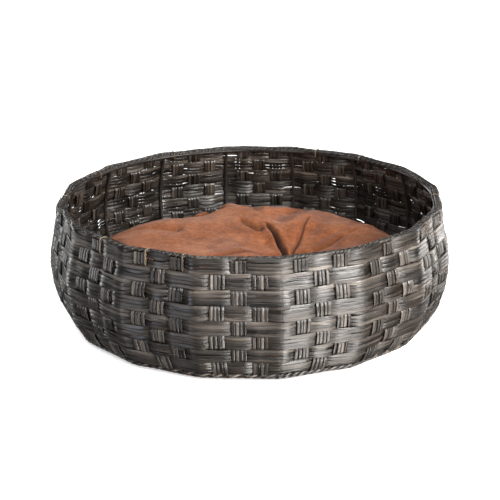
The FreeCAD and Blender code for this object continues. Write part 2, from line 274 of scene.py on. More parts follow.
# ---------------------------------------------------------------------------
# Materials
# ---------------------------------------------------------------------------
class Nodes:
    """Short calls for building a node tree."""

    def __init__(self, name):
        self.material = bpy.data.materials.new(name)
        self.material.use_nodes = True
        self.tree = self.material.node_tree
        self.tree.nodes.clear()
        self.shader = self.node("ShaderNodeBsdfPrincipled")
        output = self.node("ShaderNodeOutputMaterial")
        self.link(self.shader.outputs["BSDF"], output.inputs["Surface"])

    def node(self, kind, **settings):
        made = self.tree.nodes.new(kind)
        for key, value in settings.items():
            setattr(made, key, value)
        return made

    def link(self, start, end):
        self.tree.links.new(start, end)

    def feed(self, node, name, value):
        if isinstance(value, bpy.types.NodeSocket):
            self.link(value, node.inputs[name])
        else:
            node.inputs[name].default_value = value

    def math(self, operation, first, second):
        node = self.node("ShaderNodeMath", operation=operation)
        self.feed(node, 0, first)
        self.feed(node, 1, second)
        return node.outputs[0]

    def scaled(self, vector, scale):
        node = self.node("ShaderNodeMapping")
        self.link(vector, node.inputs["Vector"])
        node.inputs["Scale"].default_value = scale
        return node.outputs["Vector"]

    def noise(self, vector, scale, detail=3.0, roughness=0.6):
        node = self.node("ShaderNodeTexNoise")
        self.link(vector, node.inputs["Vector"])
        node.inputs["Scale"].default_value = scale
        node.inputs["Detail"].default_value = detail
        node.inputs["Roughness"].default_value = roughness
        return node.outputs["Fac"]

    def ramp(self, value, stops):
        node = self.node("ShaderNodeValToRGB")
        self.link(value, node.inputs["Fac"])
        elements = node.color_ramp.elements
        while len(elements) < len(stops):
            elements.new(0.5)
        for element, (position, colour) in zip(elements, stops):
            element.position = position
            element.color = (*colour, 1)
        return node.outputs["Color"]

    def span(self, value, low, high):
        node = self.node("ShaderNodeMapRange")
        self.link(value, node.inputs["Value"])
        node.inputs["From Min"].default_value = 0.3
        node.inputs["From Max"].default_value = 0.7
        node.inputs["To Min"].default_value = low
        node.inputs["To Max"].default_value = high
        return node.outputs["Result"]

    def bump(self, height, distance, strength=1.0, after=None):
        node = self.node("ShaderNodeBump")
        self.link(height, node.inputs["Height"])
        node.inputs["Distance"].default_value = distance
        node.inputs["Strength"].default_value = strength
        if after is not None:
            self.link(after, node.inputs["Normal"])
        return node.outputs["Normal"]

    def coordinates(self):
        return self.node("ShaderNodeTexCoord").outputs["Object"]


def strand_material(name, stops, warm_stops, roughness=(0.12, 0.50)):
    """Dyed natural strand: fibre streaks along it, blotches, painted shade at each strand's edges,
    and a thin worn lacquer.
    """
    n = Nodes(name)
    grain = n.node("ShaderNodeAttribute", attribute_name="grain").outputs["Vector"]
    tone = n.node("ShaderNodeAttribute", attribute_name="tone").outputs["Fac"]
    fine = n.noise(n.scaled(grain, (12, 2600, 1)), 1.0, 2.0)
    broad = n.noise(n.scaled(grain, (7, 700, 1)), 1.0, 2.0)
    blotch = n.noise(n.scaled(grain, (11, 60, 1)), 1.0, 3.0)
    shift = n.math("ADD", n.span(fine, -0.18, 0.18), n.span(broad, -0.22, 0.22))
    shift = n.math("ADD", shift, n.span(blotch, -0.14, 0.14))
    value = n.math("ADD", tone, shift)
    patch = n.noise(n.scaled(grain, (7, 20, 1)), 1.0, 2.0)
    mix = n.node("ShaderNodeMix", data_type="RGBA")
    n.link(n.span(patch, 0.0, 1.0), mix.inputs[0])
    n.link(n.ramp(value, stops), mix.inputs[6])
    n.link(n.ramp(value, warm_stops), mix.inputs[7])
    n.link(mix.outputs[2], n.shader.inputs["Base Color"])
    n.feed(n.shader, "Roughness", n.span(blotch, *roughness))
    n.shader.inputs["Specular IOR Level"].default_value = 0.5
    relief = n.bump(broad, 0.00030)
    n.feed(n.shader, "Normal", n.bump(fine, 0.00016, 1.0, relief))
    return n.material


GREY = [
    (0.0, (0.003, 0.0026, 0.0022)),
    (0.35, (0.012, 0.0108, 0.0092)),
    (0.65, (0.033, 0.030, 0.026)),
    (1.0, (0.120, 0.107, 0.091)),
]
BROWN = [
    (0.0, (0.005, 0.0034, 0.0025)),
    (0.35, (0.018, 0.013, 0.010)),
    (0.65, (0.044, 0.034, 0.027)),
    (1.0, (0.125, 0.100, 0.078)),
]
TAN = [
    (0.0, (0.05, 0.030, 0.016)),
    (0.5, (0.14, 0.094, 0.055)),
    (1.0, (0.28, 0.20, 0.12)),
]
TERRACOTTA = [
    (0.1, (0.120, 0.035, 0.013)),
    (0.5, (0.236, 0.075, 0.026)),
    (0.9, (0.395, 0.147, 0.058)),
]
# Painted shade: near-black brown laid into the cushion's creases.
PAINTED_FOLD_SHADE = [(0.3, (0.018, 0.006, 0.004)), (0.7, (0.034, 0.011, 0.007))]
PAINT = [(0.35, (0.005, 0.0035, 0.003)), (0.65, (0.014, 0.010, 0.008))]


def wire_material():
    """Dark brown paint on wire, a little mottled and rubbed."""
    n = Nodes("painted_wire")
    place_on = n.coordinates()
    mottle = n.noise(place_on, 90.0, 4.0)
    n.feed(n.shader, "Base Color", n.ramp(mottle, PAINT))
    n.feed(n.shader, "Roughness", n.span(n.noise(place_on, 260.0), 0.38, 0.6))
    n.feed(n.shader, "Normal", n.bump(n.noise(place_on, 900.0), 0.0001))
    return n.material


def cloth_material():
    """Plain-woven brushed cotton, with painted shade deep in its folds."""
    n = Nodes("cushion_cotton")
    place_on = n.coordinates()
    wash = n.noise(place_on, 14.0, 6.0, 0.68)
    rub = n.noise(place_on, 230.0, 4.0, 0.7)
    slub = n.noise(n.scaled(place_on, (160, 1500, 1500)), 1.0, 2.0)
    cross = n.noise(n.scaled(place_on, (1500, 160, 1500)), 1.0, 2.0)
    weave = n.math("ADD", slub, cross)
    value = n.math("ADD", n.span(wash, -0.24, 0.24), n.math("MULTIPLY", weave, 0.5))
    value = n.math("ADD", value, n.span(rub, -0.20, 0.20))
    cloud = n.noise(place_on, 48.0, 4.0, 0.7)
    value = n.math("ADD", value, n.span(cloud, -0.22, 0.22))
    # Painted shade: a point attribute made in press_creases darkens the colour deep in each crease.
    painted_fold_shade = n.node("ShaderNodeAttribute", attribute_name="painted_fold_shade").outputs["Fac"]
    mix = n.node("ShaderNodeMix", data_type="RGBA")
    n.link(n.math("MULTIPLY", painted_fold_shade, 0.97), mix.inputs[0])
    n.link(n.ramp(value, TERRACOTTA), mix.inputs[6])
    n.link(n.ramp(rub, PAINTED_FOLD_SHADE), mix.inputs[7])
    n.link(mix.outputs[2], n.shader.inputs["Base Color"])
    n.shader.inputs["Roughness"].default_value = 0.88
    n.shader.inputs["Specular IOR Level"].default_value = 0.25
    n.shader.inputs["Sheen Weight"].default_value = 0.08
    n.shader.inputs["Sheen Roughness"].default_value = 0.5
    threads = n.bump(weave, 0.00035, 0.8)
    n.feed(n.shader, "Normal", n.bump(n.noise(place_on, 60.0, 3.0), 0.0022, 0.7, threads))
    return n.material


def plain_fibre(name, dark, light, scale):
    n = Nodes(name)
    place_on = n.coordinates()
    cloud = n.noise(place_on, scale, 4.0)
    n.feed(n.shader, "Base Color", n.ramp(cloud, [(0.3, dark), (0.7, light)]))
    n.shader.inputs["Roughness"].default_value = 0.9
    n.feed(n.shader, "Normal", n.bump(n.noise(place_on, scale * 4), 0.0004))
    return n.material


STRAND = strand_material("dyed_strand", GREY, BROWN)
TAN_STRAND = strand_material("undyed_strand", TAN, TAN)
WIRE = wire_material()
COTTON = cloth_material()
THREAD = plain_fibre("tuft_thread", (0.05, 0.02, 0.012), (0.11, 0.045, 0.027), 700.0)
FILLING = plain_fibre("fibre_filling", (0.62, 0.61, 0.58), (0.84, 0.83, 0.80), 120.0)


# ---------------------------------------------------------------------------
# The woven wall
# ---------------------------------------------------------------------------
SAMPLES_PER_PANEL = 50
CORNER_WEIGHTS = [1, 2, 3, 4, 5, 4, 3, 2, 1]  # moving average that rounds the corners at the ribs
EXTRA_STRAND_TONE = 0.33  # the first row has one more strand, close under the rim
DIVE_LENGTH = 0.0105  # run in which a weaver swings from outside a stake to inside it
DIVE_OVERLAP = 0.0030  # how much of that run lies behind the stake's edge
TOP_STRAND_DROP = 0.0027  # from the rim's top to the middle of the highest strand
INSIDE_PINCH = 0.00008  # how much nearer each other the strands lie behind a stake

# Smooth drifts of a weaver: wavelength in samples, then size in metres, radians or a share.
BUNDLE_RISE = (90, 0.0003)
BUNDLE_LEAN = (20, 0.15)
BUNDLE_LEAN_INSIDE = (34, 0.34)
BUNDLE_SWELL = (18, 0.00045)
STRAND_SPREAD = (40, 0.012)
STRAND_RISE = (26, 0.00042)
STRAND_SWELL = (22, 0.00022)
STRAND_GAUGE = (30, 0.03)
STRAND_LEAN = (32, 0.12)
STRAND_FADE = (40, 0.13)

STAKE_STRAND_WIDTH = 0.0041
STAKE_STEP = 0.0018  # between samples up a stake
STAKE_FOOT_OUTSIDE = 0.0035  # height of a stake's lower end, outside the last row
STAKE_FOOT_INSIDE = 0.0125  # and inside it
STAKE_TOP_DROP = 0.0022
STAKE_DIVE = 0.008  # height in which a stake swings from outside a row to inside the next

# Smooth drifts of a stake's strand, as above.
STAKE_PINCH = (24, 0.03)
STAKE_SWAY = (30, 0.0004)
STAKE_SWELL = (20, 0.00015)
STAKE_GAUGE = (30, 0.03)
STAKE_LEAN = (20, 0.11)


def bundle_tones(spread=0.14):
    """A tone for each strand of a bundle, near a tone of the bundle's own."""
    middle = RANDOM.normal(0.38, 0.08)
    return [middle + RANDOM.normal(0, spread) for _ in range(STRANDS_PER_BUNDLE)]


def ring_samples(per_panel):
    """Panel number and place in the panel, from -1 to 1, of samples once round the basket."""
    step = (np.arange(RIB_COUNT * per_panel) + 0.5) / per_panel
    panel = np.floor(step).astype(int)
    return panel, 2 * (step - panel) - 1


def weaver_side(row, panel, share):
    """1 where the weaver runs outside the stakes and -1 where it runs inside, eased between."""
    half_chord = float(middle_radius(ROW_MIDDLES[row])) * math.sin(HALF_PANEL)
    side = np.ones(len(share))
    for stake in range(STAKES_PER_PANEL):
        away = np.abs(share - stake_share(stake)) * half_chord
        under = 1 - ease((away - STAKE_WIDTH / 2 + DIVE_OVERLAP) / DIVE_LENGTH)
        hidden = stake_is_outside(panel, stake, row)
        side -= 2 * under * hidden
    return side


def weaver_row(row):
    """One bundle of strands woven once round the basket, over and under its stakes."""
    strands = Strands(f"strands_row_{row + 1}")
    panel, share = ring_samples(SAMPLES_PER_PANEL)
    side = weaver_side(row, panel, share)
    count = len(panel)
    drift = wander(count, *BUNDLE_RISE, closed=True)
    roll = wander(count, *BUNDLE_LEAN, closed=True)
    roll = roll + wander(count, *BUNDLE_LEAN_INSIDE, closed=True) * (1 - side) / 2
    swell = wander(count, *BUNDLE_SWELL, closed=True)
    tones = bundle_tones()
    if row == 0:
        tones = [EXTRA_STRAND_TONE] + tones
    for number, tone in enumerate(tones, STRANDS_PER_BUNDLE - len(tones)):
        place_in = number - (STRANDS_PER_BUNDLE - 1) / 2
        spread = 1.0 + wander(count, *STRAND_SPREAD, closed=True)
        z = ROW_MIDDLES[row] - place_in * ROW_PITCH / STRANDS_PER_BUNDLE * spread
        z = np.minimum(z, HEIGHT - TOP_STRAND_DROP)
        z = z + drift + wander(count, *STRAND_RISE, closed=True)
        z = z - place_in * INSIDE_PINCH * (1 - side)
        radius = middle_radius(z)
        lift = side * WAVE + swell + wander(count, *STRAND_SWELL, closed=True)
        line = panel_points(
            panel, share * radius * math.sin(HALF_PANEL), radius * math.cos(HALF_PANEL) + lift, z
        )
        out_way, _ = panel_frame(panel)
        out = out_way - UP * (wall_slope(z) * math.cos(HALF_PANEL))[:, None]
        line = smooth(line, CORNER_WEIGHTS, True)
        out = smooth(out, CORNER_WEIGHTS, True)
        gauge = wander(count, *STRAND_GAUGE, closed=True)
        width = STRAND_WIDTH * (0.96 + 0.06 * abs(place_in) + gauge)
        lean = roll + RANDOM.normal(0, 0.05) + wander(count, *STRAND_LEAN, closed=True)
        shade = tone + wander(count, *STRAND_FADE, closed=True)
        strands.add(line, out, width, STRAND_THICKNESS, shade, lean, closed=True)
    strands.make(BASKET, STRAND, [f"weaver_row_{row + 1}"])


def stake_side(panel, stake, z):
    """1 where the stake stands outside the weavers and -1 inside, eased between the rows."""
    rows = (ROW_MIDDLES[0] + ROW_PITCH / 2 - z) / ROW_PITCH
    first = 1.0 if stake_is_outside(panel, stake, 0) else -1.0
    side = np.full(len(z), first)
    for boundary in range(1, ROW_COUNT):
        flip = ease((rows - boundary) * ROW_PITCH / STAKE_DIVE + 0.5)
        side = side * (1 - 2 * flip)
    return side


def stake_strand(strands, panel, stake, number, tone):
    outside_at_foot = stake_is_outside(panel, stake, ROW_COUNT - 1)
    foot = STAKE_FOOT_OUTSIDE if outside_at_foot else STAKE_FOOT_INSIDE
    z = np.arange(foot, HEIGHT - STAKE_TOP_DROP, STAKE_STEP)
    count = len(z)
    side = stake_side(panel, stake, z)
    radius = middle_radius(z)
    place_in = number - (STRANDS_PER_BUNDLE - 1) / 2
    pinch = 0.97 + 0.04 * side + wander(count, *STAKE_PINCH)
    along = stake_share(stake) * radius * math.sin(HALF_PANEL)
    along = along + place_in * STAKE_STRAND_PITCH * pinch + wander(count, *STAKE_SWAY)
    out = radius * math.cos(HALF_PANEL) + side * WAVE + wander(count, *STAKE_SWELL)
    line = panel_points(np.full(count, panel), along, out, z)
    rise, run = np.gradient(z), np.gradient(out)
    size = np.hypot(rise, run)
    out_way, _ = panel_frame(panel)
    normal = out_way * (rise / size)[:, None] - UP * (run / size)[:, None]
    width = STAKE_STRAND_WIDTH * (1 + wander(count, *STAKE_GAUGE))
    lean = RANDOM.normal(0, 0.12) + wander(count, *STAKE_LEAN)
    strands.add(line, normal, width, STRAND_THICKNESS, tone, lean)


def stake_panel(panel):
    """The three stakes between two ribs, each a bundle of upright strands."""
    strands = Strands(f"strands_panel_{panel + 1:02d}")
    for stake in range(STAKES_PER_PANEL):
        for number, tone in enumerate(bundle_tones(0.13)):
            stake_strand(strands, panel, stake, number, tone + 0.05)
    strands.make(BASKET, STRAND, [f"stakes_panel_{panel + 1:02d}"])


# ---------------------------------------------------------------------------
# Rim, lashings, foot and base
# ---------------------------------------------------------------------------
def flat_ring(out_distance, z, per_panel):
    """Closed line that runs straight between the ribs, at a distance from the axis."""
    panel, share = ring_samples(per_panel)
    distance = np.full(len(panel), float(out_distance))
    line = panel_points(panel, share * distance * math.tan(HALF_PANEL), distance, z)
    reach = per_panel // 7
    weights = [reach + 1 - abs(i) for i in range(-reach, reach + 1)]
    return smooth(line, weights, True)


RIM_APOTHEM = float(middle_radius(HEIGHT)) * math.cos(HALF_PANEL)
RIM_PAIRS = [
    # distance in from the wall, drop below the rim's top, number of twists, tone
    (0.0004, 0.0009, 158, 0.36),
    (0.0036, 0.0010, 149, 0.28),
    (0.0064, 0.0018, 153, 0.05),
]
FOOT_PAIRS = [
    # distance from the axis at a rib, height
    (0.2244, 0.0098),
    (0.2202, 0.0064),
    (0.2148, 0.0043),
    (0.2096, 0.0030),
    (0.2052, 0.0030),
]
FOOT_TWISTS = 78
FOOT_TONE = 0.30
RIM_PLY = {"offset": 0.0009, "width": 0.0028, "thickness": 0.0016}
FOOT_PLY = {"offset": 0.0010, "width": 0.0029, "thickness": 0.0018}
PLY_CONTRAST = 0.46  # how much paler the second ply of a pair is
TWINE_SAMPLES_PER_PANEL = 100
LASHING_WIDTH = 0.0015
LASHING_THICKNESS = 0.0009


def twined_pair(strands, distance, z, twists, tone, offset, width, thickness):
    """Two strands twisted loosely round each other, once round the basket."""
    count = RIB_COUNT * TWINE_SAMPLES_PER_PANEL
    line = flat_ring(distance, z, TWINE_SAMPLES_PER_PANEL)
    line[:, 2] += wander(count, 60, 0.0004, closed=True)
    ahead = np.roll(line, -1, 0) - np.roll(line, 1, 0)
    ahead /= np.linalg.norm(ahead, axis=1, keepdims=True)
    side = np.cross(ahead, UP)
    turn = twists * 2 * math.pi * np.arange(count) / count + wander(count, 120, 0.9, closed=True)
    for ply in range(2):
        angle = (turn + ply * math.pi)[:, None]
        away = side * np.cos(angle) + UP * np.sin(angle)
        shade = tone + PLY_CONTRAST * ply + wander(count, 100, 0.12, closed=True)
        wide = width * (1 + wander(count, 50, 0.12, closed=True))
        strands.add(line + away * offset, away, wide, thickness, shade, closed=True)


def rim_strands():
    """Twined pairs that cap the rim."""
    strands = Strands("rim_strands", ROUND_SECTION)
    for inward, drop, twists, tone in RIM_PAIRS:
        twined_pair(strands, RIM_APOTHEM - inward, HEIGHT - drop, twists, tone, **RIM_PLY)
    strands.make(BASKET, STRAND, ["rim_cap"])


def lashing_strands():
    """Thin strands folded over the rim; the CAD lashings say where each one lies."""
    strands = Strands("lashing_strands", ROUND_SECTION)
    inside = RING_INNER_RADIUS - 0.0014
    for low, high in solid_boxes(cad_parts["rim_lashing"]):
        middle = (low + high) / 2
        angle = math.atan2(middle[1], middle[0])
        panel = int(math.floor((angle - FRONT) / PANEL_ANGLE)) % RIB_COUNT
        out_way, along_way = panel_frame(panel)
        foot_skin = float(middle_radius(low[2])) * math.cos(HALF_PANEL) + SKIN_DEPTH
        route = [
            # distance from the axis and height, from the lower end outside, over the rim
            (foot_skin - 0.0014, low[2] - 0.0010),
            (foot_skin + 0.0010, low[2] + 0.0022),
            (RIM_APOTHEM + 0.0033, HEIGHT - 0.0065),
            (RIM_APOTHEM + 0.0038, HEIGHT - 0.0020),
            (RIM_APOTHEM + 0.0026, HEIGHT + 0.0006),
            (RIM_APOTHEM, HEIGHT + 0.0010),
            (RIM_APOTHEM - 0.0050, HEIGHT + 0.0009),
            (inside, HEIGHT - 0.0004),
            (inside - 0.0003, HEIGHT - 0.0040),
            (inside, HEIGHT - 0.0085),
        ]
        bends = np.array(route)
        places = np.arange(len(route))
        shares = np.linspace(0, len(route) - 1, 46)
        out = smooth(np.interp(shares, places, bends[:, 0]), [1, 2, 3, 2, 1], False)
        z = smooth(np.interp(shares, places, bends[:, 1]), [1, 2, 3, 2, 1], False)
        sway = float(np.dot(middle, along_way)) + wander(len(z), 30, 0.0005)
        line = panel_points(np.full(len(z), panel), sway, out, z)
        rise, run = np.gradient(z), np.gradient(out)
        size = np.hypot(rise, run)
        normal = out_way * (rise / size)[:, None] - UP * (run / size)[:, None]
        tone = RANDOM.uniform(0.3, 0.7)
        strands.add(line, normal, LASHING_WIDTH, LASHING_THICKNESS, tone, 0.1)
    strands.make(BASKET, TAN_STRAND, ["rim_lashing"])


def solid_boxes(piece):
    """Lowest and highest corner of each separate solid in a CAD node's mesh."""
    mesh = piece.data
    group = list(range(len(mesh.vertices)))

    def root(i):
        while group[i] != i:
            group[i] = group[group[i]]
            i = group[i]
        return i

    for edge in mesh.edges:
        a, b = root(edge.vertices[0]), root(edge.vertices[1])
        group[max(a, b)] = min(a, b)
    places = {}
    for vertex in mesh.vertices:
        places.setdefault(tuple(round(c, 6) for c in vertex.co), []).append(vertex.index)
    for same in places.values():
        for other in same[1:]:
            a, b = root(same[0]), root(other)
            group[max(a, b)] = min(a, b)
    corners = {}
    for vertex in mesh.vertices:
        corners.setdefault(root(vertex.index), []).append(np.array(vertex.co))
    return [(np.min(c, 0), np.max(c, 0)) for _, c in sorted(corners.items())]


def foot_ropes():
    """Twined binding under the wall."""
    strands = Strands("foot_ropes", ROUND_SECTION)
    for radius, z in FOOT_PAIRS:
        twists = FOOT_TWISTS + int(RANDOM.integers(-6, 7))
        distance = radius * math.cos(HALF_PANEL) + 0.0006
        twined_pair(strands, distance, z, twists, FOOT_TONE, **FOOT_PLY)
    strands.make(BASKET, STRAND, ["bottom_binding"])


STRANDS_PER_BASE_BUNDLE = 5
BASE_STRAND_PITCH = 0.0043
BASE_STRAND_WIDTH = 0.0042
BASE_STRAND_THICKNESS = 0.0011
BASE_WAVE = 0.0011  # how far a base bundle swings over and under those it crosses


def base_layer(name, node, lengthwise):
    """One direction of the base's plain weave."""
    strands = Strands(name)
    boxes = solid_boxes(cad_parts[node])
    across_axis, along_axis = (0, 1) if lengthwise else (1, 0)
    centres = sorted((low[across_axis] + high[across_axis]) / 2 for low, high in boxes)
    pitch = (centres[-1] - centres[0]) / (len(centres) - 1)
    level = (boxes[0][0][2] + boxes[0][1][2]) / 2
    for low, high in boxes:
        centre = (low[across_axis] + high[across_axis]) / 2
        index = round(centre / pitch)
        along = np.arange(low[along_axis] + 0.001, high[along_axis] - 0.001, 0.003)
        phase = index + (1 if lengthwise else 0)
        swing = np.cos(math.pi * (along / pitch + phase))
        for number in range(STRANDS_PER_BASE_BUNDLE):
            place_in = number - (STRANDS_PER_BASE_BUNDLE - 1) // 2
            offset = centre + place_in * BASE_STRAND_PITCH + wander(len(along), 50, 0.0003)
            z = level + BASE_WAVE * np.clip(swing * 1.8, -1, 1) + wander(len(along), 40, 0.0001)
            line = np.zeros((len(along), 3))
            line[:, across_axis], line[:, along_axis], line[:, 2] = offset, along, z
            out = np.broadcast_to(-UP, line.shape)
            tone = RANDOM.normal(0.42, 0.14)
            lean = RANDOM.normal(0, 0.05)
            strands.add(line, out, BASE_STRAND_WIDTH, BASE_STRAND_THICKNESS, tone, lean)
    strands.make(BASKET, STRAND, [node])


def wire_frame():
    """The wires keep their CAD shape."""
    for name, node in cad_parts.items():
        if name.startswith("rib_") or name.endswith("_ring") or name.startswith("base_wire"):
            node.data.materials.clear()
            node.data.materials.append(WIRE)


# ---------------------------------------------------------------------------
# The cushion
# ---------------------------------------------------------------------------
def in_view(right, away):
    """Place on the ground, from distances to the right of and behind the basket's centre."""
    return right * VIEW_RIGHT + away * VIEW_AWAY


LOBES = [
    # place to the right, place behind, spread, height
    (0.026, 0.150, 0.055, 0.0090),
    (-0.064, 0.165, 0.024, -0.0070),
    (0.110, 0.120, 0.050, -0.0015),
    (-0.120, 0.130, 0.040, 0.0010),
    (-0.040, -0.120, 0.080, 0.0060),
    (0.110, -0.110, 0.070, 0.0040),
    (0.150, 0.020, 0.050, -0.0010),
]
CREASES = [
    # depth, half width, then the route as (to the right, behind), from its far end
    (
        0.0200,
        0.0026,
        [(0.020, 0.073), (0.025, 0.060), (0.032, 0.041), (0.039, 0.016), (0.046, -0.004)],
    ),
    (0.0065, 0.0024, [(0.077, 0.102), (0.070, 0.076), (0.062, 0.043), (0.051, 0.002)]),
    (0.0060, 0.0028, [(0.027, 0.130), (0.022, 0.116), (0.021, 0.102)]),
    (0.0085, 0.0050, [(-0.014, 0.090), (-0.002, 0.072), (0.011, 0.060)]),
    (
        0.0140,
        0.0055,
        [(-0.098, 0.158), (-0.082, 0.147), (-0.064, 0.145), (-0.052, 0.160), (-0.046, 0.190)],
    ),
    (0.0070, 0.0040, [(-0.080, 0.168), (-0.060, 0.158), (-0.040, 0.158)]),
    (0.0080, 0.0045, [(0.134, 0.050), (0.106, 0.021), (0.087, 0.007), (0.050, -0.004)]),
    (0.0120, 0.0060, [(0.186, 0.098), (0.160, 0.094), (0.140, 0.092)]),
    (0.0080, 0.0050, [(-0.078, -0.070), (-0.040, -0.052), (0.004, -0.026), (0.040, -0.008)]),
    (0.0110, 0.0036, [(0.046, -0.132), (0.040, -0.092), (0.050, -0.050), (0.048, -0.012)]),
    (0.0080, 0.0045, [(0.120, -0.086), (0.088, -0.052), (0.054, -0.012)]),
    (0.0050, 0.0070, [(-0.165, 0.060), (-0.130, 0.066), (-0.096, 0.052)]),
    (0.0060, 0.0060, [(-0.060, -0.160), (-0.050, -0.120), (-0.020, -0.090)]),
]
DIPS = [
    # place to the right, place behind, spread, depth of the soft hollows in the settled cover
    (-0.082, 0.150, 0.046, 0.0110),
    (-0.155, 0.105, 0.032, 0.0055),
    (0.142, 0.118, 0.036, 0.0085),
]
WRINKLE = 0.0028  # height of the small soft wrinkles all over the cover
RIPPLES = [(0.055, 0.9), (0.027, 0.45), (0.014, 0.18)]  # wrinkles' distance apart, share of height
CROWN = 0.0835  # height of the top before the cloth settles
CROWN_SQUARENESS = 6.5
CROWN_AT_TUFT = 0.0830
TUFT_CLEARANCE = 0.0020  # from the thread's top to the cover over it
MIDDLE_SINK = 0.004
TUFT_PIT = [(0.55, 0.016), (0.45, 0.046)]  # share of the pit's depth, spread
UNDERSIDE_LIFT = 0.0004
COVER_VOXEL = 0.005
COVER_START = 0.975  # size of the cover before it swells, against its CAD size
FILLING_SIZE = 0.90
FILLING_DROP = 0.034  # how far the filling's top lies below the cover's, near the middle
SEAM_GROOVE = 0.0022  # depth that the sewn edge pulls the cover in
SEAM_HALF_HEIGHT = 0.0026
SEAM_CORD_WIDTH = 0.0026
SEAM_CORD_THICKNESS = 0.0024
SEAM_CORD_SINK = 0.0004  # how far the cord's middle lies inside the cover's side


def crown_height(x, y):
    """Height of the cushion's top before the cloth settles."""
    r = np.hypot(x, y)
    fullness = np.sqrt(np.clip(1 - (r / CUSHION_RADIUS) ** CROWN_SQUARENESS, 0, 1))
    shoulder = CUSHION_SEAM + (CROWN - CUSHION_SEAM) * fullness
    z = shoulder - MIDDLE_SINK * np.exp(-((r / 0.09) ** 2))
    for right, away, spread, height in LOBES:
        px, py = in_view(right, away)
        z = z + height * np.exp(-((x - px) ** 2 + (y - py) ** 2) / spread**2)
    from_tuft = np.hypot(x - TUFT.x, y - TUFT.y)
    pit = sum(share * np.exp(-((from_tuft / spread) ** 2)) for share, spread in TUFT_PIT)
    return z - (CROWN_AT_TUFT - (TUFT_BOTTOM + TUFT_CLEARANCE)) * pit


def cushion_blank(name, lowered=0.0):
    """Closed pad: flat under, rounded at the side, crowned on top, less lowered in the middle."""
    around, rings_top, rings_side, rings_under = 128, 34, 12, 10
    turn = 2 * math.pi * np.arange(around) / around
    side_round = CUSHION_SEAM - CUSHION_LOW.z
    profile = []
    for i in range(rings_under):
        r = (CUSHION_RADIUS - side_round) * (i + 0.5) / rings_under
        profile.append((r, CUSHION_LOW.z + UNDERSIDE_LIFT))
    for i in range(rings_side):
        angle = -math.pi / 2 + math.pi / 2 * i / rings_side
        profile.append(
            (
                CUSHION_RADIUS - side_round + side_round * math.cos(angle),
                CUSHION_SEAM + side_round * math.sin(angle) + UNDERSIDE_LIFT,
            )
        )
    points = []
    for r, z in profile:
        points += [(r * math.cos(t), r * math.sin(t), z) for t in turn]
    for r in CUSHION_RADIUS * np.sin(np.linspace(math.pi / 2, 0.02, rings_top)):
        x, y = r * np.cos(turn), r * np.sin(turn)
        z = crown_height(x, y) - lowered * (1 - (r / CUSHION_RADIUS) ** 14)
        points += list(zip(x.tolist(), y.tolist(), z.tolist()))
    rings = len(points) // around
    faces = []
    for i in range(rings - 1):
        for j in range(around):
            k = (j + 1) % around
            low, high = i * around, (i + 1) * around
            faces.append((low + j, low + k, high + k, high + j))
    faces.append(tuple(range(around))[::-1])
    faces.append(tuple((rings - 1) * around + j for j in range(around)))
    mesh = bpy.data.meshes.new(name)
    mesh.from_pydata(points, [], faces)
    return mesh


def scaled_about(co, centre, scale):
    return (co - centre) * scale + centre


def coordinates_of(mesh):
    co = np.empty(len(mesh.vertices) * 3)
    mesh.vertices.foreach_get("co", co)
    return co.reshape(-1, 3)


def apply_modifiers(piece):
    bpy.context.view_layer.update()
    graph = bpy.context.evaluated_depsgraph_get()
    fresh = bpy.data.meshes.new_from_object(piece.evaluated_get(graph))
    piece.modifiers.clear()
    old = piece.data
    piece.data = fresh
    fresh.name = piece.name
    bpy.data.meshes.remove(old)


def remeshed(piece, voxel):
    modifier = piece.modifiers.new("remesh", "REMESH")
    modifier.mode = "VOXEL"
    modifier.voxel_size = voxel
    modifier.use_smooth_shade = True
    apply_modifiers(piece)


CLOTH_FRAMES = 20
CLOTH_REACH = 0.010  # the furthest that a point may move


def settle_cloth(piece):
    """Swells the cover against its tuft and underside, and keeps the folds that come."""
    start = coordinates_of(piece.data)
    from_tuft = np.hypot(start[:, 0] - TUFT.x, start[:, 1] - TUFT.y)
    on_top = start[:, 2] > CUSHION_SEAM
    held = np.where(on_top, np.exp(-((from_tuft / 0.012) ** 2)), 0.0)
    held = np.maximum(held, np.clip((CUSHION_LOW.z + 0.006 - start[:, 2]) / 0.004, 0, 1))
    group = piece.vertex_groups.new(name="held")
    for index in np.nonzero(held > 0.02)[0]:
        group.add([int(index)], float(held[index]), "REPLACE")
    modifier = piece.modifiers.new("cloth", "CLOTH")
    cloth = modifier.settings
    cloth.quality = 6
    cloth.mass = 0.25
    cloth.tension_stiffness = 14
    cloth.compression_stiffness = 14
    cloth.shear_stiffness = 6
    cloth.bending_stiffness = 0.35
    cloth.use_pressure = True
    cloth.uniform_pressure_force = 3.6
    cloth.shrink_min = -0.035
    cloth.vertex_group_mass = "held"
    cloth.effector_weights.gravity = 0
    modifier.collision_settings.use_self_collision = False
    modifier.point_cache.frame_start = 1
    modifier.point_cache.frame_end = CLOTH_FRAMES
    scene = bpy.context.scene
    for number in range(1, CLOTH_FRAMES + 1):
        scene.frame_set(number)
    graph = bpy.context.evaluated_depsgraph_get()
    end = coordinates_of(piece.evaluated_get(graph).data)
    move = end - start
    size = np.linalg.norm(move, axis=1, keepdims=True)
    limited = start + move * np.minimum(1, CLOTH_REACH / np.maximum(size, 1e-9))
    piece.modifiers.clear()
    piece.vertex_groups.clear()
    piece.data.vertices.foreach_set("co", limited.ravel())
    scene.frame_set(1)


def distance_to_route(x, y, route):
    """Distance from points to a broken line, and how far along it, from 0 to 1."""
    best = np.full(len(x), 1e9)
    along = np.zeros(len(x))
    spans = len(route) - 1
    for i in range(spans):
        a, b = np.array(route[i]), np.array(route[i + 1])
        way = b - a
        t = np.clip(((x - a[0]) * way[0] + (y - a[1]) * way[1]) / way.dot(way), 0, 1)
        d = np.hypot(x - a[0] - t * way[0], y - a[1] - t * way[1])
        nearer = d < best
        best = np.where(nearer, d, best)
        along = np.where(nearer, (i + t) / spans, along)
    return best, along


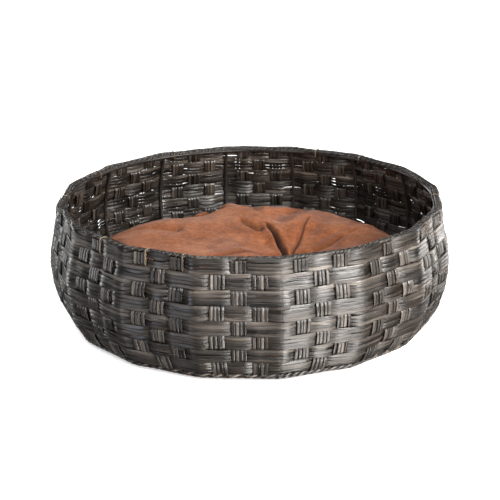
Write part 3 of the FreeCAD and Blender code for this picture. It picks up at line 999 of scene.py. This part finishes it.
def smooth_route(points, rounds=3):
    """Chaikin's corner cutting, which keeps the end points."""
    points = [np.array(p) for p in points]
    for _ in range(rounds):
        cut = [points[0]]
        for a, b in zip(points, points[1:]):
            cut += [a * 0.75 + b * 0.25, a * 0.25 + b * 0.75]
        points = cut + [points[-1]]
    return points


def ripple(co, size):
    """Soft ridges about that far apart, running in wandering directions."""
    return np.array(
        [noise.noise(Vector(p)) + 0.6 * abs(noise.noise(Vector(p * 0.7 + 9))) for p in co / size]
    )


def press_creases(mesh):
    """Sinks the hollows, creases and seam, and stores painted shade for the creases in a point
    attribute.
    """
    co = coordinates_of(mesh)
    top = ease((co[:, 2] - CUSHION_SEAM) / 0.012)
    painted_fold_shade = np.zeros(len(co))
    for right, behind, spread, depth in DIPS:
        px, py = in_view(right, behind)
        co[:, 2] -= top * depth * np.exp(-((co[:, 0] - px) ** 2 + (co[:, 1] - py) ** 2) / spread**2)
    for depth, half_width, route in CREASES:
        ground = [in_view(*p) for p in route]
        d, along = distance_to_route(co[:, 0], co[:, 1], smooth_route(ground))
        wide = half_width * (0.6 + 0.6 * along)
        fade = np.sin(np.clip(along * 0.95 + 0.05, 0, 1) * math.pi / 2) ** 0.7
        valley = np.exp(-((d / wide) ** 2))
        roll = np.exp(-(((d - 3.0 * wide) / (2.2 * wide)) ** 2))
        co[:, 2] += top * fade * depth * (0.16 * roll - valley)
        # Painted shade, strongest in the middle of each crease and in the deeper creases.
        shade = np.clip(1.7 * np.exp(-((d / (1.25 * wide)) ** 2)), 0, 1)
        painted_fold_shade = np.maximum(painted_fold_shade, top * fade**0.5 * min((depth / 0.014) ** 1.5, 1) * shade)
    mark = mesh.attributes.new("painted_fold_shade", "FLOAT", "POINT")
    mark.data.foreach_set("value", painted_fold_shade)
    for size, share in RIPPLES:
        co[:, 2] += top * WRINKLE * share * ripple(co, size)
    at_seam = np.exp(-(((co[:, 2] - CUSHION_SEAM) / SEAM_HALF_HEIGHT) ** 2))
    away = np.hypot(co[:, 0], co[:, 1])
    at_side = ease((away - (CUSHION_RADIUS - 0.03)) / 0.01)
    pull = 1 - SEAM_GROOVE * at_seam * at_side / np.maximum(away, 1e-6)
    co[:, 0] *= pull
    co[:, 1] *= pull
    mesh.vertices.foreach_set("co", co.ravel())


def keep_inside(mesh, radius, low, high):
    """Holds the cover clear of the basket."""
    co = coordinates_of(mesh)
    away = np.hypot(co[:, 0], co[:, 1])
    scale = np.minimum(1, radius / np.maximum(away, 1e-9))
    co[:, 0] *= scale
    co[:, 1] *= scale
    co[:, 2] = np.clip(co[:, 2], low, high)
    mesh.vertices.foreach_set("co", co.ravel())


def cushion():
    mesh = cushion_blank("cushion_cover")
    panels = ["cushion_cover_top", "cushion_cover_bottom"]
    cover = place(mesh, CUSHION, COTTON, panels)
    centre = np.array([0, 0, (CUSHION_LOW.z + CUSHION_HIGH.z) / 2])
    remeshed(cover, COVER_VOXEL)
    co = coordinates_of(cover.data)
    cover.data.vertices.foreach_set("co", scaled_about(co, centre, COVER_START).ravel())
    settle_cloth(cover)
    subdivision = cover.modifiers.new("subdivision", "SUBSURF")
    subdivision.levels = 2
    subdivision.render_levels = 2
    apply_modifiers(cover)
    press_creases(cover.data)
    keep_inside(cover.data, CUSHION_RADIUS + 0.001, CUSHION_LOW.z, CUSHION_HIGH.z + 0.006)
    cover.data.polygons.foreach_set("use_smooth", [True] * len(cover.data.polygons))
    cover.data.materials.clear()
    cover.data.materials.append(COTTON)

    inner = cushion_blank("cushion_fibre", FILLING_DROP)
    co = coordinates_of(inner)
    inner.vertices.foreach_set("co", scaled_about(co, centre, FILLING_SIZE).ravel())
    place(inner, CUSHION, FILLING, ["cushion_filling"])

    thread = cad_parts["cushion_tuft_thread"]
    thread.data.materials.clear()
    thread.data.materials.append(THREAD)
    seam_cord(cover.data)


def seam_cord(cover_mesh):
    """Sewn edge where the cover's two panels meet, lying in the settled cover's side."""
    strands = Strands("cushion_seam", half_section=ROUND_SECTION)
    count = 360
    turn = 2 * math.pi * np.arange(count) / count
    co = coordinates_of(cover_mesh)
    co = co[np.abs(co[:, 2] - CUSHION_SEAM) < 0.0015]
    away = np.hypot(co[:, 0], co[:, 1])
    sector = np.round(np.arctan2(co[:, 1], co[:, 0]) / (2 * math.pi) * count).astype(int) % count
    r = np.zeros(count)
    np.maximum.at(r, sector, away)
    r = smooth(np.maximum(r, np.median(away) - 0.01), CORNER_WEIGHTS, True) - SEAM_CORD_SINK
    line = np.stack([r * np.cos(turn), r * np.sin(turn), np.full(count, CUSHION_SEAM)], -1)
    out = np.stack([np.cos(turn), np.sin(turn), 0 * turn], -1)
    strands.add(line, out, SEAM_CORD_WIDTH, SEAM_CORD_THICKNESS, 0.5, closed=True)
    strands.make(CUSHION, COTTON)


# ---------------------------------------------------------------------------
# Studio
# ---------------------------------------------------------------------------
# Strength of the paper's painted glow.
FLOOR_GLOW = 0.6
WARM, NEUTRAL, COOL = (1.0, 0.965, 0.93), (1.0, 1.0, 1.0), (0.85, 0.89, 1.0)
SOFTBOXES = [
    # name, degrees right of the camera, degrees up, distance, (width, height), watts, colour
    ("key", 38, 18, 1.7, (0.36, 1.0), 54, WARM),
    ("low", 38, -40, 1.4, (0.40, 1.2), 28, WARM),
    ("front_strip", 17, -4, 1.6, (0.07, 1.4), 10, WARM),
    ("side_strip", 62, -4, 1.6, (0.08, 1.4), 6, WARM),
    ("side_back", 125, 4, 1.7, (0.5, 1.2), 16, WARM),
    ("left", -51, -6, 1.7, (0.4, 1.2), 6, COOL),
    ("side", 64, 28, 1.8, (0.6, 0.6), 20, WARM),
    ("top", -16, 40, 1.9, (0.8, 0.8), 21, NEUTRAL),
    ("back", 203, 12, 2.0, (1.2, 0.5), 18, NEUTRAL),
    ("left_back", -112, 3, 1.7, (0.5, 1.2), 11, NEUTRAL),
]
LIGHT_TARGET = Vector((0, 0, 0.08))


def floor():
    """White paper with a painted glow round the basket, so that shadows stay faint; the glow fades
    under the basket into a painted shadow.
    """
    mesh = bpy.data.meshes.new("floor")
    half, back, rise, bend = 9.0, 2.2, 3.0, 0.7
    outline = [(-half, 0.0)]
    outline += [(back - bend, 0.0)]
    for i in range(1, 13):
        angle = -math.pi / 2 + math.pi / 2 * i / 12
        outline.append((back - bend + bend * math.cos(angle), bend + bend * math.sin(angle)))
    outline.append((back, rise))
    points = []
    for away, z in outline:
        for right in (-half, half):
            x, y = in_view(right, away)
            points.append((x, y, z))
    faces = [(2 * i, 2 * i + 1, 2 * i + 3, 2 * i + 2) for i in range(len(outline) - 1)]
    mesh.from_pydata(points, [], faces)
    mesh.polygons.foreach_set("use_smooth", [True] * len(mesh.polygons))
    sweep = bpy.data.objects.new("floor", mesh)
    bpy.context.scene.collection.objects.link(sweep)

    n = Nodes("studio_paper")
    n.shader.inputs["Base Color"].default_value = (0.9, 0.9, 0.9, 1)
    n.shader.inputs["Roughness"].default_value = 0.95
    n.shader.inputs["Specular IOR Level"].default_value = 0.1
    n.shader.inputs["Emission Color"].default_value = (1, 1, 1, 1)
    from_middle = n.node("ShaderNodeVectorMath", operation="LENGTH")
    n.link(n.coordinates(), from_middle.inputs[0])
    # Painted glow, weakest under the basket's foot, where it leaves a painted shadow.
    glow = n.node("ShaderNodeMapRange")
    n.link(from_middle.outputs["Value"], glow.inputs["Value"])
    glow.inputs["From Min"].default_value = FOOT_RADIUS - 0.04
    glow.inputs["From Max"].default_value = FOOT_RADIUS + 0.02
    glow.inputs["To Min"].default_value = 0.02
    glow.inputs["To Max"].default_value = FLOOR_GLOW
    n.link(glow.outputs["Result"], n.shader.inputs["Emission Strength"])
    mesh.materials.append(n.material)
    sweep.visible_diffuse = False
    sweep.visible_glossy = False
    sweep.visible_shadow = False


def softbox(name, azimuth, elevation, distance, size, power, colour):
    """Area light aimed at the basket."""
    a = VIEW_AZIMUTH + math.radians(azimuth)
    e = math.radians(elevation)
    way = Vector((math.sin(a) * math.cos(e), -math.cos(a) * math.cos(e), math.sin(e)))
    data = bpy.data.lights.new(name, "AREA")
    data.shape = "RECTANGLE"
    data.size, data.size_y = size
    data.energy = power
    data.color = colour
    lamp = bpy.data.objects.new(name, data)
    bpy.context.scene.collection.objects.link(lamp)
    lamp.location = LIGHT_TARGET + way * distance
    lamp.rotation_mode = "QUATERNION"
    lamp.rotation_quaternion = way.to_track_quat("Z", "Y")


def backdrop_light():
    """Lights the paper behind the basket, and shines away from the basket itself."""
    data = bpy.data.lights.new("backdrop", "AREA")
    data.shape = "RECTANGLE"
    data.size, data.size_y = 2.6, 0.8
    data.energy = 30
    lamp = bpy.data.objects.new("backdrop", data)
    bpy.context.scene.collection.objects.link(lamp)
    x, y = in_view(0, 0.6)
    lamp.location = (x, y, 1.5)
    lamp.rotation_mode = "QUATERNION"
    away = Vector((*VIEW_AWAY, -0.7))
    lamp.rotation_quaternion = (-away).to_track_quat("Z", "Y")


def studio():
    floor()
    for settings in SOFTBOXES:
        softbox(*settings)
    backdrop_light()
    world = bpy.data.worlds.new("studio")
    world.use_nodes = True
    world.node_tree.nodes["Background"].inputs["Color"].default_value = (1, 1, 1, 1)
    world.node_tree.nodes["Background"].inputs["Strength"].default_value = 0.15
    bpy.context.scene.world = world
    bpy.context.scene.view_settings.view_transform = "Standard"


def camera():
    data = bpy.data.cameras.new("camera")
    data.sensor_width = 36
    data.lens = VIEW_LENS
    data.shift_x, data.shift_y = VIEW_SHIFT
    data.clip_end = 20
    cam = bpy.data.objects.new("camera", data)
    bpy.context.scene.collection.objects.link(cam)
    a, e = VIEW_AZIMUTH, VIEW_ELEVATION
    back = Vector((math.sin(a) * math.cos(e), -math.cos(a) * math.cos(e), math.sin(e)))
    cam.location = Vector((0, 0, HEIGHT / 2)) + back * VIEW_DISTANCE
    cam.rotation_mode = "QUATERNION"
    turn = (-back).to_track_quat("-Z", "Y")
    roll = Matrix.Rotation(-VIEW_ROLL, 4, "Z").to_quaternion()
    cam.rotation_quaternion = turn @ roll
    bpy.context.scene.camera = cam


for row_number in range(ROW_COUNT):
    weaver_row(row_number)
for panel_number in range(RIB_COUNT):
    stake_panel(panel_number)
rim_strands()
lashing_strands()
foot_ropes()
base_layer("base_strands_lengthwise", "base_weave_lengthwise", True)
base_layer("base_strands_crosswise", "base_weave_crosswise", False)
wire_frame()
cushion()
studio()
camera()
